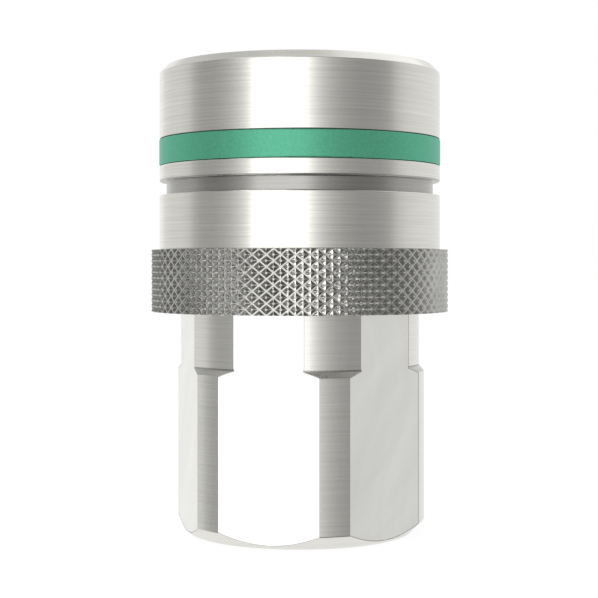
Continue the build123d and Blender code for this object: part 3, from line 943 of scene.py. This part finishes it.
def coiled_spring(name, body, node, wire, radius, coils, low, high):
    """Round-wire spring with closed ends that are ground flat."""
    per_turn, section = 48, 14
    end_rise, ground, whole_rise = wire * 0.35, wire * 0.32, high - low - wire
    # Rise by turn: a closed turn, the open coils, and a closed turn that the last step may run past
    turns = (0.0, 1.0, coils + 1.0, coils + 3.0)
    rises = (0.0, end_rise, whole_rise - end_rise, whole_rise + end_rise)
    steps = round(per_turn * (coils + 2.0))
    corners = []
    for step in range(steps + 1):
        rise = float(np.interp(step / per_turn, turns, rises))
        angle = FULL_TURN * step / per_turn
        centre_height = low + ground + rise * (high - low - 2 * ground) / whole_rise
        for k in range(section):
            tilt = FULL_TURN * k / section
            out = radius + wire / 2 * cos(tilt)
            height = max(low, min(high, centre_height + wire / 2 * sin(tilt)))
            corners.append(polar(out, angle, height))
    rings = [range(step * section, (step + 1) * section) for step in range(steps + 1)]
    faces = [face[::-1] for face in net(rings)] + [tuple(rings[0]), tuple(rings[-1])[::-1]]
    return make_piece(name, body, node, corners, faces, ["spring_steel"], crease=40)


class COUPLING_OT_springs(bpy.types.Operator):
    """Sleeve spring and shutter spring"""

    bl_idname = "coupling.springs"
    bl_label = "Springs"

    def execute(self, context):
        sizes = context.scene.coupling_springs
        low, high, coil, travel = mm(52.3, 67.0, 20.1, 6.0)
        spring = coiled_spring("sleeve_spring_coil", "sleeve_carrier", "sleeve_spring", sizes.sleeve_wire,
                               coil, 2.6, low, high)
        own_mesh(spring)
        low, high, coil, travel = mm(30.5, 50.0, 14.4, 11.0)
        spring = coiled_spring("shutter_spring_coil", "root", "shutter_spring", sizes.shutter_wire,
                               coil, 3.6, low, high)
        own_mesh(spring)
        return {"FINISHED"}


class COUPLING_OT_inner_finishes(bpy.types.Operator):
    """Finishes of the CAD pieces that stay as they are"""

    bl_idname = "coupling.inner_finishes"
    bl_label = "Inner finishes"

    def execute(self, context):
        finishes = {
            "valve_steel": ("socket_barrel", "stem_spider", "stem_nut"),
            "seal_rubber": ("head_seal", "plug_seal", "body_seal"),
            "ring_plastic": ("backup_ring",),
        }
        for finish, nodes in finishes.items():
            for node in nodes:
                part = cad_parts[node]
                part.data.materials.clear()
                part.data.materials.append(finish_named(finish))
        return {"FINISHED"}


# Studio


def studio_world(world, daylight, towards_camera):
    """Even light for coats, soft panels that metal mirrors, and white where the camera looks past."""
    world.use_nodes = True
    tree = world.node_tree
    tree.nodes.clear()
    place = new_node(tree, "TexCoord").outputs["Generated"]
    turn = new_node(tree, "VectorRotate", {"Vector": place, "Angle": -towards_camera}, rotation_type="Z_AXIS")
    x, y, z = split_node(tree, turn.outputs[0])
    steep = math_node(tree, "ABSOLUTE", z)
    bearing = math_node(tree, "ARCTAN2", x, times(tree, y, -1.0))
    around = map_node(tree, bearing, -pi, pi, 0.0, 1.0)
    strongest = 2.6

    def panel_ramp(*stops):
        """Levels of light by bearing from the camera's direction, in degrees."""
        return ramp_node(tree, around, [((angle + 180) / 360, level / strongest) for angle, level in stops])

    def fade(value, start, stop, first=0.0, last=1.0):
        return map_node(tree, value, start, stop, first, last, "SMOOTHSTEP")

    def even_panel(level):
        return (level / strongest,) * 3 + (1.0,)

    wall = panel_ramp(
        (-180, 0.84), (-160, 0.90), (-151, 0.90), (-145, 0.775), (-130, 0.705), (-112, 0.68), (-100, 0.61),
        (-95, 0.47), (-86, 0.37), (-72, 0.365), (-60, 0.455), (-50, 0.63), (-43, 0.86), (-40.5, 1.0),
        (-38.5, 1.38), (6, 1.38), (8.5, 1.1), (12, 0.89), (18, 0.66), (26, 0.49), (36, 0.375), (50, 0.31),
        (66, 0.325), (76, 0.38), (80, 0.46), (87, 0.59), (98, 0.69), (118, 0.755), (180, 0.84),
    )
    right_rise = ((0, 0.16), (44, 0.18), (60, 0.21), (72, 0.30), (84, 0.52), (92, 0.65))
    above = panel_ramp(
        (-180, 0.80), (-150, 0.68), (-135, 0.57), (-120, 0.50), (-100, 0.50), (-84, 0.16), *right_rise,
        (99, 0.70), (106, 0.70), (123, 0.92), (134, 1.02), (148, 1.1), (165, 1.0), (180, 0.80),
    )
    below = panel_ramp(
        (-180, 0.85), (-108, 0.85), (-88, 0.16), *right_rise, (99, 0.75), (106, 0.85), (180, 0.85),
    )
    side_panel = panel_ramp((-180, 0.0), (-80, 0.0), (-70, 2.6), (-20, 2.6), (-2, 0.0), (180, 0.0))
    strip = times(tree, fade(steep, 0.66, 0.74), fade(steep, 0.87, 0.92, 1.0, 0.0))
    mirrored = blend_node(tree, fade(z, 0.34, 0.55), wall, above)
    mirrored = blend_node(tree, fade(z, -0.34, -0.55), mirrored, below)
    brighter = {0: mirrored, 1: scale_node(tree, side_panel, strip)}
    mirrored = new_node(tree, "VectorMath", brighter, operation="MAXIMUM").outputs[0]
    mirrored = blend_node(tree, fade(z, 0.93, 0.98), mirrored, even_panel(0.6))
    mirrored = blend_node(tree, fade(z, -0.93, -0.98), mirrored, even_panel(0.86))
    panels = new_node(tree, "Background", {"Color": mirrored, "Strength": strongest}).outputs[0]
    rays = new_node(tree, "LightPath").outputs
    even = white_light(tree, "Background", daylight)
    lit = mix_shaders(tree, rays["Is Glossy Ray"], even, panels)
    direct = math_node(tree, "MAXIMUM", rays["Is Camera Ray"], rays["Is Transmission Ray"])
    seen = mix_shaders(tree, direct, lit, white_light(tree, "Background", 1.0))
    new_node(tree, "OutputWorld", {"Surface": seen})


def floor_finish():
    """Pale floor that the camera sees as white, with only a trace of the coupling's shadow.

    It is clear from below, so that the coupling's foot can be looked at."""
    pale, glow, glow_share = (0.92, 0.92, 0.92, 1.0), 1.04, 0.88
    finish, tree, shader = new_finish("studio_floor", {"Base Color": pale, "Roughness": 0.9})
    lit = times(tree, new_node(tree, "LightPath").outputs["Is Camera Ray"], glow_share)
    upper = mix_shaders(tree, lit, shader.outputs[0], white_light(tree, "Emission", glow))
    lower = new_node(tree, "BsdfTransparent").outputs[0]
    from_below = new_node(tree, "NewGeometry").outputs["Backfacing"]
    sheet = mix_shaders(tree, from_below, upper, lower)
    link(tree, sheet, tree.nodes["Material Output"].inputs["Surface"])
    return finish


class COUPLING_OT_studio(bpy.types.Operator):
    """Pale floor, even light, mirrored panels and the camera"""

    bl_idname = "coupling.studio"
    bl_label = "Studio"

    def execute(self, context):
        scene = context.scene
        settings = scene.coupling_studio
        side, sink = 3.0, 0.02 * MM
        corners = [(-side, -side, 0.0), (side, -side, 0.0), (side, side, 0.0), (-side, side, 0.0)]
        mesh = bpy.data.meshes.new("studio_floor")
        mesh.from_pydata(corners, [], [(0, 1, 2, 3)])
        mesh.materials.append(floor_finish())
        floor = add_object("studio_floor", mesh)
        floor.location.z = -sink
        floor.visible_glossy = False
        scene.world = bpy.data.worlds.new("studio_light")
        studio_world(scene.world, settings.daylight, settings.azimuth)
        scene.world.cycles.sampling_method = "NONE"
        lamp = bpy.data.lights.new("key_light", "AREA")
        lamp.energy = 0.8
        lamp.size = 0.5
        key = add_object("key_light", lamp)
        key.location = (-0.06, -0.60, 0.55)
        key.rotation_euler = (radians(48), 0.0, radians(-5))
        key.visible_glossy = key.visible_camera = False
        lens = bpy.data.cameras.new("camera")
        lens.lens = settings.lens
        lens.sensor_width = 36.0
        lens.shift_x, lens.shift_y = -0.0012, -0.060
        lens.clip_start = 0.01
        camera = add_object("camera", lens)
        # The azimuth counts from the front, which faces -y
        camera.location = polar(settings.distance, settings.azimuth - pi / 2, settings.camera_height)
        camera.rotation_euler = (radians(90), 0.0, settings.azimuth)
        scene.camera = camera
        scene.view_settings.view_transform = "Standard"
        return {"FINISHED"}


class COUPLING_PT_pieces(bpy.types.Panel):
    """Pieces of the coupling, and the studio it stands in"""

    bl_idname = "COUPLING_PT_pieces"
    bl_label = "Non-drip coupling"
    bl_space_type = "VIEW_3D"
    bl_region_type = "UI"
    bl_category = "Coupling"

    def draw(self, context):
        for operator in OPERATORS:
            self.layout.operator(operator.bl_idname)
        for group in GROUPS:
            box = self.layout.box()
            settings = getattr(context.scene, group)
            for name in settings.bl_rna.properties.keys():
                if name not in ("rna_type", "name"):
                    box.prop(settings, name)


OPERATORS = (
    COUPLING_OT_hex_body,
    COUPLING_OT_release_sleeve,
    COUPLING_OT_colour_ring,
    COUPLING_OT_knurled_ring,
    COUPLING_OT_stop_ring,
    COUPLING_OT_valve,
    COUPLING_OT_locking_balls,
    COUPLING_OT_springs,
    COUPLING_OT_inner_finishes,
    COUPLING_OT_studio,
)
CLASSES = (*GROUPS.values(), *OPERATORS, COUPLING_PT_pieces)


def register():
    for kind in CLASSES:
        bpy.utils.register_class(kind)
    for name, group in GROUPS.items():
        setattr(bpy.types.Scene, name, PointerProperty(type=group))


def unregister():
    for name in GROUPS:
        delattr(bpy.types.Scene, name)
    for kind in reversed(CLASSES):
        bpy.utils.unregister_class(kind)


def main():
    register()
    for operator in OPERATORS:
        family, name = operator.bl_idname.split(".")
        getattr(getattr(bpy.ops, family), name)()


if __name__ == "__main__":
    main()
